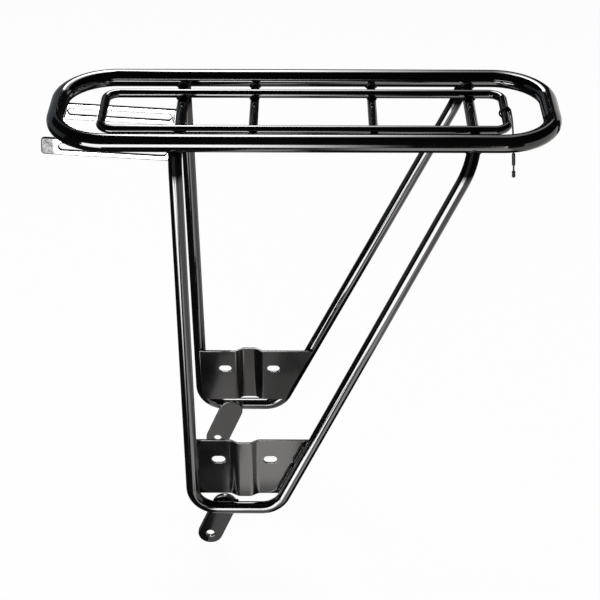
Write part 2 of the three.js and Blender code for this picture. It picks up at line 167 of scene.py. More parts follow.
joint_pivots = {joint["child"]: joint["pos_m"] for joint in frame["joints"]}
PIVOT = np.array(joint_pivots["left_stay"]) / MM - DECK_ORIGIN

# Where materials change, in metres in the row frame.
# The stays' tip is darkened in colour up to here. This is painted shade, and it fades out over the
# next 13 mm.
SHADED_TIP_X = (PIVOT[0] + DECK_ORIGIN[0] - STAY_REACH + 10) * MM
LIT_BAR_X = SHADED_TIP_X + 13 * MM
# The legs' reflections fade out between these two heights: painted shade on their tops.
GLOSSY_LEG_Z = (DECK_ORIGIN[2] - 34) * MM
SHADED_LEG_TOP_Z = (DECK_ORIGIN[2] - 26) * MM


# ---- meshes ----
def to_row(points):
    """Deck coordinates in millimetres to the row frame in metres."""
    return (np.asarray(points, float) + DECK_ORIGIN) * MM


def area_weighted_normals(points, faces):
    """One normal per vertex, in which large flat faces outweigh narrow bevels."""
    normals = np.zeros_like(points)
    for face in faces:
        corners = points[list(face)]
        turned = np.roll(corners, -1, axis=0)
        area = np.cross(corners, turned).sum(axis=0) / 2
        normals[list(face)] += area
    lengths = np.linalg.norm(normals, axis=1, keepdims=True)
    return normals / np.maximum(lengths, 1e-12)


def make_piece(name, shapes, material, body, nodes=(), rim=None):
    """One smooth-shaded object from (points, faces) shapes given in deck coordinates.

    rim is the material of the faces with four corners: the sheared edges of a flat bar and the
    margin band beside them. On the stays it carries painted shade as a dark outline.
    """
    points = np.vstack([np.asarray(p, float) for p, _ in shapes])
    faces = []
    offset = 0
    for shape_points, shape_faces in shapes:
        faces += [tuple(int(i) + offset for i in face) for face in shape_faces]
        offset += len(shape_points)
    normals = area_weighted_normals(points, faces)
    mesh = bpy.data.meshes.new(name)
    mesh.from_pydata(to_row(points).tolist(), [], faces)
    mesh.polygons.foreach_set("use_smooth", [True] * len(mesh.polygons))
    mesh.normals_split_custom_set_from_vertices(normals.tolist())
    mesh.materials.append(material)
    mesh.update()
    if rim:
        mesh.materials.append(rim)
        for polygon in mesh.polygons:
            polygon.material_index = int(len(polygon.vertices) == 4)
    piece = bpy.data.objects.new(name, mesh)
    bpy.context.scene.collection.objects.link(piece)
    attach(piece, body)
    if nodes:
        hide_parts(*nodes)
    return piece


def make_pair(name, shape, material, node):
    """A right-hand shape and its mirror image on the left, both on the frame."""
    for side, sign in SIDES:
        shapes = [mirrored(shape, sign)]
        make_piece(f"{name}_{side}", shapes, material, "frame", [f"{node}_{side}"])


def grid_faces(rings, sides, closed):
    """Quads joining successive rings of the same number of points."""
    faces = []
    last = rings if closed else rings - 1
    for i in range(last):
        near, far = i * sides, ((i + 1) % rings) * sides
        for j in range(sides):
            k = (j + 1) % sides
            faces.append((near + j, near + k, far + k, far + j))
    return faces


def sweep(points, tangents, radius, sides, closed=False):
    """A tube along a path. radius is a number, or one per station, or one per station and side."""
    points = np.asarray(points, float)
    tangents = np.asarray(tangents, float)
    tangents = tangents / np.linalg.norm(tangents, axis=1, keepdims=True)
    stations = len(points)
    radii = np.asarray(radius, float)
    if radii.ndim < 2:
        radii = radii.reshape(-1, 1)
    radii = np.broadcast_to(radii, (stations, sides))
    up = np.array([0.0, 0.0, 1.0])
    if abs(tangents[0] @ up) > 0.9:
        up = np.array([1.0, 0.0, 0.0])
    angles = np.linspace(0, 2 * np.pi, sides, endpoint=False)
    rings = []
    for i in range(stations):
        up = up - (up @ tangents[i]) * tangents[i]
        up /= np.linalg.norm(up)
        side = np.cross(tangents[i], up)
        around = np.outer(np.cos(angles), side) + np.outer(np.sin(angles), up)
        rings.append(points[i] + around * radii[i][:, None])
    faces = grid_faces(stations, sides, closed)
    if not closed:
        faces.append(tuple(reversed(range(sides))))
        faces.append(tuple(range((stations - 1) * sides, stations * sides)))
    return np.vstack(rings), faces


def lathe(profile, sides, centre, axis):
    """A closed profile of (radius, height) points turned about axis through centre."""
    axis = np.asarray(axis, float) / np.linalg.norm(axis)
    helper = np.array([1.0, 0, 0]) if abs(axis[0]) < 0.9 else np.array([0, 1.0, 0])
    u = np.cross(axis, helper)
    u /= np.linalg.norm(u)
    v = np.cross(axis, u)
    points = []
    for angle in np.linspace(0, 2 * np.pi, sides, endpoint=False):
        out = math.cos(angle) * u + math.sin(angle) * v
        points += [centre + r * out + h * axis for r, h in profile]
    count = len(profile)
    faces = []
    for i in range(sides):
        near, far = i * count, ((i + 1) % sides) * count
        for j in range(count):
            k = (j + 1) % count
            faces.append((near + j, far + j, far + k, near + k))
    return np.array(points), faces


# ---- paths ----
def corner_arc(before, corner, after, radius, step=math.radians(3)):
    """Stations of the arc that rounds a corner, and the tangents there."""
    before, corner, after = (np.asarray(p, float) for p in (before, corner, after))
    back = (before - corner) / np.linalg.norm(before - corner)
    on = (after - corner) / np.linalg.norm(after - corner)
    half = math.acos(float(np.clip(back @ on, -1, 1))) / 2
    inward = (back + on) / np.linalg.norm(back + on)
    centre = corner + inward * radius / math.sin(half)
    start = corner + back * radius / math.tan(half)
    spoke, heading = start - centre, -back
    turn = math.pi - 2 * half
    divisions = max(4, math.ceil(turn / step))
    points, tangents = [], []
    for angle in np.linspace(0, turn, divisions + 1):
        points.append(centre + spoke * math.cos(angle) + heading * radius * math.sin(angle))
        tangents.append(heading * math.cos(angle) - spoke / radius * math.sin(angle))
    return points, tangents


def bent_path(corners, radii):
    """An open path through corners, each inner one rounded to its radius."""
    corners = [np.asarray(c, float) for c in corners]
    points, tangents = [corners[0]], [corners[1] - corners[0]]
    for i in range(1, len(corners) - 1):
        arc_points, arc_tangents = corner_arc(
            corners[i - 1], corners[i], corners[i + 1], radii[i - 1]
        )
        points += arc_points
        tangents += arc_tangents
    points.append(corners[-1])
    tangents.append(corners[-1] - corners[-2])
    return densified(points, tangents)


def densified(points, tangents, longest=12.0):
    """Adds stations along the straight lengths, so that no quad is much longer than it is wide."""
    out_points, out_tangents = [points[0]], [tangents[0]]
    for i in range(1, len(points)):
        span = np.linalg.norm(points[i] - points[i - 1])
        extra = int(span // longest)
        for k in range(1, extra + 1):
            share = k / (extra + 1)
            out_points.append(points[i - 1] + share * (points[i] - points[i - 1]))
            out_tangents.append(points[i] - points[i - 1])
        out_points.append(points[i])
        out_tangents.append(tangents[i])
    return out_points, out_tangents


def rounded_rectangle_path(half_length, half_width, radius, z):
    corners = [
        (half_length, -half_width, z),
        (half_length, half_width, z),
        (-half_length, half_width, z),
        (-half_length, -half_width, z),
    ]
    points, tangents = [], []
    for i in range(4):
        arc_points, arc_tangents = corner_arc(
            corners[i - 1], corners[i], corners[(i + 1) % 4], radius
        )
        points += arc_points
        tangents += arc_tangents
    points.append(points[0])
    tangents.append(tangents[0])
    points, tangents = densified(points, tangents)
    return points[:-1], tangents[:-1]


# ---- pressed and cut sheet ----
def inside(polygon, x, z):
    """Whether a point lies inside a closed polygon."""
    crossings = 0
    for (x0, z0), (x1, z1) in zip(polygon, np.roll(polygon, -1, axis=0)):
        if (z0 > z) != (z1 > z) and x < x0 + (z - z0) / (z1 - z0) * (x1 - x0):
            crossings += 1
    return crossings % 2 == 1


def arc_points(x, z, radius, start, end, count=12):
    angles = np.linspace(start, end, count + 1)
    return [(x + radius * math.cos(a), z + radius * math.sin(a)) for a in angles]


def circle_outline(x, z, radius, count=40):
    return arc_points(x, z, radius, 0, 2 * math.pi, count)[:-1]


def slot_outline(x0, x1, z, radius):
    quarter = math.pi / 2
    return arc_points(x1, z, radius, -quarter, quarter) + arc_points(
        x0, z, radius, quarter, 3 * quarter
    )


def sheet(outer, holes, thickness, bevel, lines=(), margin=0):
    """A flat sheet in X and Z, centred on Y = 0, with rounded rims.

    outer(inset) and each hole(inset) give an outline drawn back from the edge by inset. lines are
    extra X values at which the faces carry a straight row of edges, so that they can be bent.
    margin is the width of a ring of quads laid on both faces, next to every rim.
    """
    arc = np.linspace(0, math.pi / 2, 4)
    front = [(bevel * (1 - math.sin(a)), thickness / 2 - bevel * (1 - math.cos(a))) for a in arc]
    if margin:
        front.insert(0, (bevel + margin, thickness / 2))
    layers = front + [(inset, -y) for inset, y in reversed(front)]
    shapes = []
    for outline, flip in [(outer, False)] + [(hole, True) for hole in holes]:
        rings = []
        for inset, y in layers:
            rings += [(x, y, z) for x, z in outline(inset)]
        count = len(outline(0))
        faces = grid_faces(len(layers), count, False)
        shapes.append((np.array(rings), [f[::-1] for f in faces] if flip else faces))
    loops = [np.array(outline(bevel + margin)) for outline in [outer] + list(holes)]
    flat, edges = [], []
    for loop in loops:
        first = len(flat)
        flat += [tuple(p) for p in loop]
        edges += [(first + i, first + (i + 1) % len(loop)) for i in range(len(loop))]
    for x in lines:
        ends = [i for i, p in enumerate(loops[0]) if abs(p[0] - x) < 1e-6]
        if len(ends) == 2:
            edges.append(tuple(ends))
    found = geometry.delaunay_2d_cdt([Vector(p) for p in flat], edges, [], 0, 1e-6)
    vertices = np.array([tuple(v) for v in found[0]])
    kept = []
    for triangle in found[2]:
        x, z = vertices[list(triangle)].mean(axis=0)
        if inside(loops[0], x, z) and not any(inside(loop, x, z) for loop in loops[1:]):
            kept.append(tuple(triangle))
    for y, reverse in ((thickness / 2, True), (-thickness / 2, False)):
        face_points = np.column_stack([vertices[:, 0], np.full(len(vertices), y), vertices[:, 1]])
        shapes.append((face_points, [t[::-1] if reverse else t for t in kept]))
    return joined(shapes)


def joined(shapes):
    """Several shapes as one, with coincident points shared."""
    points = np.vstack([p for p, _ in shapes])
    faces, offset = [], 0
    for shape_points, shape_faces in shapes:
        faces += [tuple(i + offset for i in face) for face in shape_faces]
        offset += len(shape_points)
    _, first, shared = np.unique(
        np.round(points, 5), axis=0, return_index=True, return_inverse=True
    )
    shared = shared.reshape(-1)
    merged = []
    for face in faces:
        ring = [int(shared[i]) for i in face]
        ring = [a for a, b in zip(ring, ring[1:] + ring[:1]) if a != b]
        if len(ring) > 2:
            merged.append(tuple(ring))
    return points[first], merged


def mirrored(shape, side):
    """The shape itself on the right, its mirror image on the left."""
    points, faces = shape
    if side > 0:
        return points, faces
    return points * [1, -1, 1], [face[::-1] for face in faces]


def shifted(shape, offset):
    return shape[0] + np.asarray(offset, float), shape[1]


# ---- procedural materials ----
class Finish:
    """A procedural material under construction."""

    def __init__(self, name):
        self.material = bpy.data.materials.new(name)
        self.material.use_nodes = True
        self.nodes = self.material.node_tree.nodes
        self.links = self.material.node_tree.links
        self.shader = self.nodes["Principled BSDF"]
        self.place = self.nodes.new("ShaderNodeTexCoord").outputs["Object"]

    def feed(self, name, value):
        """Gives an input of the shader a number, or the socket that drives it."""
        if isinstance(value, bpy.types.NodeSocket):
            self.links.new(value, self.shader.inputs[name])
        else:
            self.shader.inputs[name].default_value = value

    def noise(self, scale, detail, stretch=(1, 1, 1)):
        """Noise in object space, scale being features per metre."""
        mapping = self.nodes.new("ShaderNodeMapping")
        mapping.inputs["Scale"].default_value = stretch
        self.links.new(self.place, mapping.inputs["Vector"])
        noise = self.nodes.new("ShaderNodeTexNoise")
        noise.inputs["Scale"].default_value = scale
        noise.inputs["Detail"].default_value = detail
        self.links.new(mapping.outputs["Vector"], noise.inputs["Vector"])
        return noise.outputs["Fac"]

    def coordinate(self, axis):
        split = self.nodes.new("ShaderNodeSeparateXYZ")
        self.links.new(self.place, split.inputs["Vector"])
        return split.outputs[axis]

    def ranged(self, value, low, high, from_low=0.3, from_high=0.7):
        """Maps a value onto the range low to high."""
        ramp = self.nodes.new("ShaderNodeMapRange")
        ramp.inputs["From Min"].default_value = from_low
        ramp.inputs["From Max"].default_value = from_high
        ramp.inputs["To Min"].default_value = low
        ramp.inputs["To Max"].default_value = high
        self.links.new(value, ramp.inputs["Value"])
        return ramp.outputs["Result"]

    def mixed(self, share, dark, light):
        """A colour between dark and light, each of which is a colour or a socket."""
        mix = self.nodes.new("ShaderNodeMix")
        mix.data_type = "RGBA"
        for key, colour in (("A", dark), ("B", light)):
            if isinstance(colour, bpy.types.NodeSocket):
                self.links.new(colour, mix.inputs[key])
            else:
                mix.inputs[key].default_value = (*colour, 1)
        self.links.new(share, mix.inputs["Factor"])
        return mix.outputs["Result"]

    def clouded(self, value, dark, light):
        """Feeds the base colour with dark and light clouds that follow a noise."""
        self.feed("Base Color", self.mixed(self.ranged(value, 0, 1), dark, light))

    def bump(self, *heights):
        """Chains (height socket, depth in millimetres) bumps into the shader's normal."""
        normal = None
        for height, depth in heights:
            bump = self.nodes.new("ShaderNodeBump")
            bump.inputs["Distance"].default_value = depth * MM
            self.links.new(height, bump.inputs["Height"])
            if normal:
                self.links.new(normal, bump.inputs["Normal"])
            normal = bump.outputs["Normal"]
        self.feed("Normal", normal)


def gloss_enamel(name, ripple=0.0015, specular=0.5, coat=0.25):
    """Dipped black enamel: near-black, mirror-like, with faint orange peel and handling haze."""
    enamel = Finish(name)
    cloud = enamel.noise(35, 4)
    peel = enamel.noise(420, 2)
    haze = enamel.noise(90, 6)
    enamel.clouded(cloud, (0.0003, 0.0003, 0.0004), (0.001, 0.001, 0.0011))
    enamel.feed("Roughness", enamel.ranged(haze, 0.05, 0.10))
    enamel.feed("IOR", 1.5)
    enamel.feed("Specular IOR Level", specular)
    enamel.feed("Coat Weight", coat)
    enamel.feed("Coat Roughness", 0.03)
    enamel.bump((cloud, 0.015), (peel, ripple))
    return enamel


def leg_enamel():
    """The gloss enamel, with its reflections faded out at the tops of the legs: painted shade that
    keeps them dark.
    """
    enamel = gloss_enamel("black_leg_enamel")
    height = enamel.coordinate("Z")
    # Painted shade: specular and coat fall away towards the tops of the legs.
    gloss = enamel.ranged(height, 0.5, 0.008, GLOSSY_LEG_Z, SHADED_LEG_TOP_Z)
    enamel.feed("Specular IOR Level", gloss)
    enamel.feed("Coat Weight", enamel.ranged(height, 0.25, 0, GLOSSY_LEG_Z, SHADED_LEG_TOP_Z))
    return enamel


def sheet_enamel():
    """The same enamel over pressed sheet: a little duller, with rolled-sheet grain under it."""
    enamel = Finish("black_sheet_enamel")
    grain = enamel.noise(260, 3, (1, 1, 0.25))
    cloud = enamel.noise(45, 4)
    enamel.clouded(cloud, (0.0005, 0.0005, 0.0006), (0.0016, 0.0016, 0.0018))
    enamel.feed("Roughness", enamel.ranged(cloud, 0.12, 0.18))
    enamel.feed("Coat Weight", 0.2)
    enamel.feed("Coat Roughness", 0.08)
    enamel.bump((cloud, 0.05), (grain, 0.003))
    return enamel


def bright_plate():
    """Polished plated bar: drawn lines along its length, cloudy patches and a darker mottled tip,
    which is painted shade for the dimmer reflection there.
    """
    plate = Finish("bright_plated_bar")
    drawn = plate.noise(300, 4, (0.06, 1, 1.6))
    cloud = plate.noise(130, 5)
    wear_and_shade = plate.noise(420, 5)
    # Painted shade: towards the tip, the bright plating gives way to a dark mottle.
    lit_share = plate.ranged(plate.coordinate("X"), 0, 1, SHADED_TIP_X, LIT_BAR_X)
    blotch = plate.ranged(wear_and_shade, 0, 1, 0.35, 0.65)
    shaded_mottle = plate.mixed(blotch, (0.03, 0.03, 0.031), (0.075, 0.075, 0.076))
    tone = plate.ranged(cloud, 0, 1, 0.35, 0.7)
    polish = plate.mixed(tone, (0.55, 0.55, 0.56), (0.8, 0.8, 0.81))
    plate.feed("Base Color", plate.mixed(lit_share, shaded_mottle, polish))
    plate.feed("Metallic", 1)
    plate.feed("Roughness", plate.ranged(cloud, 0.28, 0.14))
    plate.feed("Anisotropic", 0.4)
    plate.bump((cloud, 0.03), (drawn, 0.006), (wear_and_shade, 0.004))
    return plate


def sheared_and_shaded_edge():
    """The cut edges of the plated bar and a thin band of its faces: torn vertical grain, painted
    near-black as painted shade for the bar's dark outline.
    """
    edge = Finish("sheared_bar_edge_and_shade")
    torn = edge.noise(900, 4, (1, 0.15, 1))
    shade_mottle = edge.noise(160, 4)
    edge.clouded(shade_mottle, (0.001, 0.001, 0.0011), (0.004, 0.004, 0.0042))
    edge.feed("Specular IOR Level", 0.05)
    edge.feed("Roughness", edge.ranged(torn, 0.4, 0.6))
    edge.bump((torn, 0.02))
    return edge


def zinc_plate():
    """Clear zinc plating on the bolts, with the faint bloom it always has."""
    zinc = Finish("zinc_plate")
    bloom = zinc.noise(320, 5)
    scratch = zinc.noise(900, 3, (1, 0.2, 1))
    zinc.clouded(bloom, (0.42, 0.43, 0.46), (0.68, 0.67, 0.62))
    zinc.feed("Metallic", 1)
    zinc.feed("Roughness", zinc.ranged(bloom, 0.42, 0.28))
    zinc.bump((bloom, 0.01), (scratch, 0.004))
    return zinc


def cable_jacket():
    """Black cable jacket: satin plastic with a fine extruded grain."""
    jacket = Finish("cable_jacket")
    grain = jacket.noise(1500, 3, (1, 1, 0.3))
    scuff = jacket.noise(180, 4)
    jacket.clouded(scuff, (0.0008, 0.0008, 0.0009), (0.0025, 0.0025, 0.0026))
    jacket.feed("Roughness", jacket.ranged(scuff, 0.38, 0.55))
    jacket.feed("Specular IOR Level", 0.2)
    jacket.bump((grain, 0.01))
    return jacket


def dull_tin():
    """The crimped terminal: tin gone grey, with blotches where it has been handled."""
    tin = Finish("dull_tin")
    blotch = tin.noise(700, 4)
    tin.clouded(blotch, (0.006, 0.006, 0.006), (0.02, 0.02, 0.02))
    tin.feed("Metallic", 1)
    tin.feed("Roughness", tin.ranged(blotch, 0.55, 0.4))
    tin.bump((blotch, 0.02))
    return tin


ENAMEL = gloss_enamel("black_gloss_enamel").material
LEG_ENAMEL = leg_enamel().material
WELD_ENAMEL = gloss_enamel("black_weld_enamel", 0.02, specular=0.12, coat=0).material
SHEET_ENAMEL = sheet_enamel().material
BRIGHT = bright_plate().material
SHADED_SHEARED = sheared_and_shaded_edge().material
ZINC = zinc_plate().material
JACKET = cable_jacket().material
TIN = dull_tin().material


# ---- deck ----
def build_loop():
    points, tangents = rounded_rectangle_path(LOOP_HALF_LENGTH, LOOP_HALF_WIDTH, LOOP_CORNER, 0)
    tube = sweep(points, tangents, LOOP_RADIUS, LOOP_SIDES, closed=True)
    make_piece("deck_loop", [tube], ENAMEL, "frame", ["loop_tube"])


def build_ring():
    points, tangents = rounded_rectangle_path(
        RING_HALF_LENGTH, RING_HALF_WIDTH, RING_CORNER, RING_Z
    )
    rod = sweep(points, tangents, RING_RADIUS, ROD_SIDES, closed=True)
    make_piece("inner_ring", [rod], ENAMEL, "frame", ["luggage_ring"])


def crossbar_line(node):
    """A crossbar's X, radius, and the Z of its straight middle."""
    low, high = (corner - DECK_ORIGIN for corner in node_box(node))
    radius = (high[0] - low[0]) / 2
    return (low[0] + high[0]) / 2, radius, low[2] + radius


def crossbar_path(node):
    x, radius, z = crossbar_line(node)
    bend_y = CROSSBAR_TIP_Y - (CROSSBAR_TIP_Z - z)
    corners = [
        (x, -CROSSBAR_TIP_Y, CROSSBAR_TIP_Z),
        (x, -bend_y, z),
        (x, bend_y, z),
        (x, CROSSBAR_TIP_Y, CROSSBAR_TIP_Z),
    ]
    return bent_path(corners, [CROSSBAR_BEND, CROSSBAR_BEND]), radius


def build_crossbars():
    for node in CROSSBARS:
        (points, tangents), radius = crossbar_path(node)
        rod = sweep(points, tangents, radius, ROD_SIDES)
        name = node.replace("crossbar", "cross_rod")
        make_piece(name, [rod], ENAMEL, "frame", [node])


# ---- legs ----
def leg_path():
    neck_y = LEG_TOP_Y - LEG_NECK_Z * math.tan(LEG_LEAN)
    top_y = LOOP_HALF_WIDTH + 0.8
    top_z = -1.5
    corners = [
        (LEG_TOP_FRONT_X, top_y, top_z),
        (LEG_NECK_FRONT_X, neck_y, LEG_NECK_Z),
        (LEG_FOOT_FRONT_X, LEG_FOOT_Y, LEG_FOOT_Z),
        (LEG_FOOT_REAR_X, LEG_FOOT_Y, LEG_FOOT_Z),
        (LEG_NECK_REAR_X, neck_y, LEG_NECK_Z),
        (LEG_TOP_REAR_X, top_y, top_z),
    ]
    return bent_path(corners, [LEG_NECK_BEND, LEG_FOOT_BEND, LEG_FOOT_BEND, LEG_NECK_BEND])


def leg_x(neck_x, foot_x, z):
    """X of the leg's middle line at height z."""
    return neck_x + (z - LEG_NECK_Z) / (LEG_FOOT_Z - LEG_NECK_Z) * (foot_x - neck_x)


def leg_y(z):
    return LEG_TOP_Y - z * math.tan(LEG_LEAN)


def build_legs():
    points, tangents = leg_path()
    tube = sweep(points, tangents, LEG_RADIUS, LEG_SIDES)
    make_pair("leg_tube", tube, LEG_ENAMEL, "leg")


def rib_rise(x):
    past = np.abs(x - RIB_X) - RIB_CREST_HALF
    down = np.clip(past / (RIB_BASE_HALF - RIB_CREST_HALF), 0, 1)
    return RIB_HEIGHT * (1 + np.cos(np.pi * down)) / 2


def plate_outline(stations):
    """The bracket plate's outline, with points at the given X along its top and bottom."""

    def outline(inset):
        top, bottom = PLATE_TOP_Z - inset, PLATE_BOTTOM_Z + inset
        points = [(leg_x(LEG_NECK_FRONT_X, LEG_FOOT_FRONT_X, bottom) + inset, bottom)]
        points += [(x, bottom) for x in stations]
        for z in np.linspace(bottom, top, 12):
            points.append((leg_x(LEG_NECK_REAR_X, LEG_FOOT_REAR_X, z) - inset, z))
        points += [(x, top) for x in reversed(stations)]
        points.append((leg_x(LEG_NECK_FRONT_X, LEG_FOOT_FRONT_X, top) + inset, top))
        return points

    return outline


def build_plates():
    reach = np.linspace(RIB_BASE_HALF, RIB_CREST_HALF, 12)
    stations = [*(RIB_X - reach), *(RIB_X + reach[::-1])]
    radius = PLATE_SLOT_HEIGHT / 2
    half = (PLATE_SLOT_LENGTH - PLATE_SLOT_HEIGHT) / 2
    holes = [
        lambda inset, x=x: slot_outline(x - half, x + half, PLATE_SLOT_Z, radius + inset)
        for x in PLATE_SLOTS_X
    ]
    outline = plate_outline(stations)
    points, faces = sheet(outline, holes, PLATE_THICK, PLATE_BEVEL, stations)
    outer = -LEG_RADIUS - GAP / 2
    points[:, 1] += outer - PLATE_THICK / 2 + rib_rise(points[:, 0])
    turn = np.array(Matrix.Rotation(LEG_LEAN, 3, "X"))
    placed = points @ turn.T + [0, LEG_TOP_Y, 0]
    make_pair("pressed_plate", (placed, faces), SHEET_ENAMEL, "bracket_plate")


def build_straps():
    x, z = STRAP_HOLE
    along = math.pi / 2 - STRAP_LEAN
    top_x = x + math.cos(along) * STRAP_LENGTH
    top_z = z + math.sin(along) * STRAP_LENGTH
    quarter = math.pi / 2

    def outer(inset):
        radius = STRAP_RADIUS - inset
        return arc_points(top_x, top_z, radius, along - quarter, along + quarter, 24) + arc_points(
            x, z, radius, along + quarter, along + 3 * quarter, 24
        )

    def hole(inset):
        return circle_outline(x, z, STRAP_HOLE_RADIUS + inset)

    low, high = node_box("dropout_strap_right")
    flat = sheet(outer, [hole], STRAP_THICK, STRAP_BEVEL)
    strap = shifted(flat, (0, (low[1] + high[1]) / 2, 0))
    make_pair("dropout_tab", strap, SHEET_ENAMEL, "dropout_strap")


# ---- front stays and their fastenings ----
def build_stays():
    def outer(inset):
        h, r = STAY_HALF_HEIGHT - inset, STAY_END_ROUND - inset
        x0, x1 = -STAY_REACH + inset, STAY_TAIL - inset
        quarter = math.pi / 2
        return (
            arc_points(x1 - r, -h + r, r, -quarter, 0, 8)
            + arc_points(x1 - r, h - r, r, 0, quarter, 8)
            + arc_points(x0 + r, h - r, r, quarter, 2 * quarter, 8)
            + arc_points(x0 + r, -h + r, r, 2 * quarter, 3 * quarter, 8)
        )

    def slot(inset):
        radius = STAY_SLOT_RADIUS + inset
        x0 = -STAY_SLOT_END + STAY_SLOT_RADIUS
        x1 = -STAY_SLOT_START - STAY_SLOT_RADIUS
        return slot_outline(x0, x1, 0, radius)

    def hole(inset):
        return circle_outline(0, 0, PIVOT_HOLE_RADIUS + inset, 32)

    holes = [slot, hole]
    points, faces = sheet(outer, holes, STAY_THICK, STAY_BEVEL, margin=STAY_RIM_MARGIN)
    turn = np.array(Matrix.Rotation(STAY_RISE, 3, "Y"))
    placed = points @ turn.T + [PIVOT[0], STAY_Y, PIVOT[2]]
    for side, sign in SIDES:
        make_piece(
            f"slotted_stay_{side}",
            [mirrored((placed, faces), sign)],
            BRIGHT,
            f"{side}_stay",
            [f"front_stay_{side}"],
            # Painted shade: the edges and the band beside them form a dark outline.
            SHADED_SHEARED,
        )


def build_lugs():
    crossbar_x, _, _ = crossbar_line("crossbar_front")

    def outer(inset):
        r = LUG_RADIUS - inset
        half = LUG_TOP_HALF_WIDTH - inset
        top = LUG_TOP_Z - inset
        return [
            (crossbar_x + half, top),
            (crossbar_x - half, top),
        ] + arc_points(PIVOT[0], PIVOT[2], r, math.pi, 2 * math.pi, 20)

    def hole(inset):
        return circle_outline(PIVOT[0], PIVOT[2], PIVOT_HOLE_RADIUS + inset, 32)

    low, high = node_box("stay_lug_right")
    flat = sheet(outer, [hole], LUG_THICK, LUG_BEVEL)
    lug = shifted(flat, (0, (low[1] + high[1]) / 2, 0))
    make_pair("pivot_lug", lug, SHEET_ENAMEL, "stay_lug")


def hex_prism(flats, height, base_y, outward, bore=0.0):
    """A chamfered hexagon along Y at the pivot, its chamfered face towards outward."""
    apothem = flats / 2
    sides = 96
    points, rings = [], []
    crown = apothem * 0.97
    for i in range(sides):
        angle = 2 * math.pi * i / sides
        local = (angle + math.pi / 6) % (math.pi / 3) - math.pi / 6
        reach = apothem / math.cos(local)
        drop = max(0.0, reach - crown) * math.tan(math.radians(30))
        rings.append(
            [
                (bore, 0.0),
                (reach, 0.0),
                (reach, height - drop - 0.12),
                (reach - 0.12, height - drop),
                (crown - 0.1, height),
                (bore, height),
            ]
        )
    for i, ring in enumerate(rings):
        angle = 2 * math.pi * i / sides
        for r, h in ring:
            points.append(
                (
                    PIVOT[0] + r * math.cos(angle),
                    base_y + outward * h,
                    PIVOT[2] + r * math.sin(angle),
                )
            )
    count = len(rings[0])
    faces = []
    for i in range(sides):
        near, far = i * count, ((i + 1) % sides) * count
        for j in range(count):
            k = (j + 1) % count
            face = (near + j, far + j, far + k, near + k)
            faces.append(face[::-1] if outward > 0 else face)
    return joined([(np.array(points), faces)])


def threaded_rod(radius, pitch, y0, y1):
    """A rod along Y at the pivot whose surface is one continuous helical thread."""
    sides = 32
    turns = abs(y1 - y0) / pitch
    stations = max(8, int(turns * 10))
    levels = np.linspace(y0, y1, stations)
    angles = np.linspace(0, 2 * np.pi, sides, endpoint=False)
    points = []
    for level in levels:
        phase = level / pitch + angles / (2 * np.pi)
        depth = THREAD_DEPTH * np.abs(2 * (phase % 1) - 1)
        ends = min(level - min(y0, y1), max(y0, y1) - level)
        taper = 0.35 if ends < 1e-9 else 0
        for angle, cut in zip(angles, depth):
            r = radius - cut - taper
            points.append(
                (PIVOT[0] + r * math.cos(angle), level, PIVOT[2] + r * math.sin(angle))
            )
    faces = grid_faces(stations, sides, False)
    faces.append(tuple(reversed(range(sides))))
    faces.append(tuple(range((stations - 1) * sides, stations * sides)))
    if y1 > y0:
        faces = [face[::-1] for face in faces]
    return np.array(points), faces


def build_fastenings():
    head_low, head_high = node_box("pivot_bolt_right")
    washer_low, _ = node_box("pivot_washer_right")
    _, nut_high = node_box("pivot_nut_right")
    head_y = head_high[1] - HEAD_HEIGHT
    washer_profile = [
        (PIVOT_HOLE_RADIUS, 0.15),
        (PIVOT_HOLE_RADIUS + 0.15, 0),
        (WASHER_RADIUS - 0.2, 0),
        (WASHER_RADIUS, 0.2),
        (WASHER_RADIUS, WASHER_THICK - 0.2),
        (WASHER_RADIUS - 0.2, WASHER_THICK),
        (PIVOT_HOLE_RADIUS + 0.15, WASHER_THICK),
        (PIVOT_HOLE_RADIUS, WASHER_THICK - 0.15),
    ]
    centre = np.array([PIVOT[0], washer_low[1], PIVOT[2]])
    washer = lathe(washer_profile, 48, centre, (0, 1, 0))
    head = hex_prism(HEX_FLATS, HEAD_HEIGHT, head_y, 1)
    shank = threaded_rod(SHANK_RADIUS, THREAD_PITCH, head_low[1], head_y + 0.2)
    nut = hex_prism(HEX_FLATS, NUT_HEIGHT, nut_high[1], -1, SHANK_RADIUS + 0.1)
    for side, sign in SIDES:
        for name, shapes, node in (
            ("hex_bolt", [head, shank], "pivot_bolt"),
            ("flat_washer", [washer], "pivot_washer"),
            ("hex_nut", [nut], "pivot_nut"),
        ):
            make_piece(
                f"{name}_{side}",
                [mirrored(shape, sign) for shape in shapes],
                ZINC,
                "frame",
                [f"{node}_{side}"],
            )


# ---- tail-light lead ----
def lead_route():
    """Points of the lead: its coil about the ring's rear rod, then the hanging end."""
    wrap = RING_RADIUS + GAP + LEAD_RADIUS
    points = []
    for turned in np.linspace(0, LEAD_TURNS, 61):
        angle = 2 * math.pi * (LEAD_TURNS - turned)
        points.append(
            (
                RING_HALF_LENGTH + wrap * math.cos(angle),
                -LEAD_WRAP_PITCH * turned,
                RING_Z + wrap * math.sin(angle),
            )
        )
    hang_y = points[-1][1]
    for down in np.linspace(0, 1, 30)[1:]:
        x = RING_HALF_LENGTH + wrap + LEAD_SPREAD * math.sqrt(down + 0.02) - 0.9 * (1 - down)
        points.append((x, hang_y, RING_Z + down * (LEAD_END_Z - RING_Z)))
    route = np.array(points)
    for _ in range(3):
        route[1:-1] = (route[:-2] + 2 * route[1:-1] + route[2:]) / 4
    return route, np.gradient(route, axis=0)


def route_at(route, tangents, z):
    i = int(np.argmin(np.abs(route[:, 2] - z) + np.where(route[:, 2] > RING_Z - 6, 1e3, 0)))
    heading = tangents[i] / np.linalg.norm(tangents[i])
    return route[i] + heading * (z - route[i][2]) / heading[2], heading


